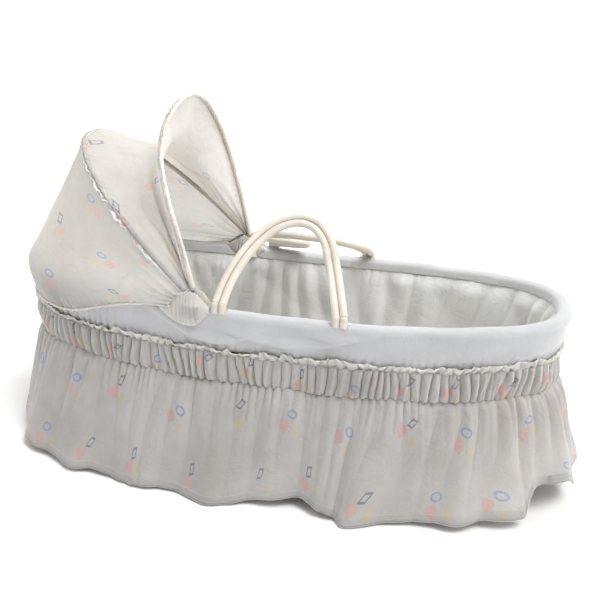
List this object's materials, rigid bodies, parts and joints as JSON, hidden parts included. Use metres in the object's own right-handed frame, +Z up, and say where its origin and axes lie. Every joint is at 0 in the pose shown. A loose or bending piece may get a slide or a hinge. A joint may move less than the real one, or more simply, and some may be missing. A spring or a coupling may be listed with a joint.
{
  "type": "bassinet on stand",
  "caption": "Oval woven baby basket dressed in a gathered printed skirt, with a folding fabric hood on wire bows, rope handles, and a low wooden stand hidden by the skirt.",
  "frame": {"origin": "centre of the object's bounding box, on the floor that the stand's glides rest on", "axes": "+X along the length towards the foot end, away from the hood; +Y to the far side; +Z up"},
  "size_m": [0.886, 0.426, 0.5289],
  "materials": {
    "print_cotton": "off-white printed cotton, matt",
    "band_cotton": "white polycotton, soft sheen",
    "lining": "plain white lining cotton, matt",
    "rope": "smooth cream woven cord",
    "elastic": "woven elastic tape",
    "mattress_cover": "quilted white cotton",
    "reed": "woven reed, natural",
    "hardboard": "brown hardboard",
    "beech": "clear varnished beech",
    "steel": "zinc plated steel",
    "clip_plastic": "white moulded plastic",
    "rubber": "black rubber"
  },
  "bodies": {
    "stand": {"stand_rail_near": "beech", "stand_rail_far": "beech", "stand_crossbar_head": "beech", "stand_crossbar_foot": "beech", "stand_leg_near_head": "beech", "stand_leg_near_foot": "beech", "stand_leg_far_head": "beech", "stand_leg_far_foot": "beech", "stand_glide_near_head": "rubber", "stand_glide_near_foot": "rubber", "stand_glide_far_head": "rubber", "stand_glide_far_foot": "rubber", "rest_strip_near": "rubber", "rest_strip_far": "rubber", "rail_screw_near_head": "steel", "rail_screw_near_foot": "steel", "rail_screw_far_head": "steel", "rail_screw_far_foot": "steel", "stop_block_near_head": "beech", "stop_block_near_foot": "beech", "stop_block_far_head": "beech", "stop_block_far_foot": "beech"},
    "basket": {"woven_base": "reed", "base_board": "hardboard", "lower_hoop": "reed", "woven_wall": "reed", "rim_hoop": "reed", "liner": "lining", "foldover_band": "band_cotton", "seam_elastic": "elastic", "header_frill": "print_cotton", "shirred_band": "print_cotton", "waist_elastic": "elastic", "skirt": "print_cotton", "hood_clip_near": "clip_plastic", "hood_clip_far": "clip_plastic", "hood_pivot_pin_near": "steel", "hood_pivot_pin_far": "steel", "hood_pin_nut_near": "steel", "hood_pin_nut_far": "steel", "hood_back": "print_cotton", "hood_hem_elastic": "elastic", "handle_eyelet_near_head": "band_cotton", "handle_eyelet_near_foot": "band_cotton", "handle_eyelet_far_head": "band_cotton", "handle_eyelet_far_foot": "band_cotton"},
    "mattress": {"mattress": "mattress_cover"},
    "rear_bow": {"rear_bow_wire": "steel", "rear_bow_eye_near": "steel", "rear_bow_eye_far": "steel", "rear_frill": "print_cotton"},
    "front_bow": {"front_bow_wire": "steel", "front_bow_eye_near": "steel", "front_bow_eye_far": "steel", "front_binding": "print_cotton", "hood_roof": "print_cotton"},
    "near_handle": {"handle_near_cord_outer": "rope", "handle_near_cord_inner": "rope"},
    "far_handle": {"handle_far_cord_outer": "rope", "handle_far_cord_inner": "rope"}
  },
  "joints": [
    {"name": "basket_lift", "type": "slide", "parent": "stand", "child": "basket", "axis": [0, 0, 1], "range_m": [0, 0.25]},
    {"name": "mattress_lift", "type": "slide", "parent": "basket", "child": "mattress", "axis": [0, 0, 1], "range_m": [0, 0.1]},
    {"name": "rear_bow_fold", "type": "hinge", "parent": "basket", "child": "rear_bow", "pos_m": [-0.105, 0, 0.27233], "axis": [0, -1, 0], "range_deg": [0, 30], "deforming": ["hood_back"]},
    {"name": "front_bow_fold", "type": "hinge", "parent": "rear_bow", "child": "front_bow", "pos_m": [-0.105, 0, 0.27233], "axis": [0, -1, 0], "range_deg": [0, 24], "deforming": ["hood_roof"]},
    {"name": "near_handle_swing", "type": "hinge", "parent": "basket", "child": "near_handle", "pos_m": [0.013, -0.164, 0.2692], "axis": [1, 0, 0], "range_deg": [0, 128]},
    {"name": "far_handle_swing", "type": "hinge", "parent": "basket", "child": "far_handle", "pos_m": [0.013, 0.164, 0.2692], "axis": [-1, 0, 0], "range_deg": [0, 148]}
  ],
  "couplings": [
    {"joint": "front_bow_fold", "follows": "rear_bow_fold", "ratio": 0.8}
  ]
}
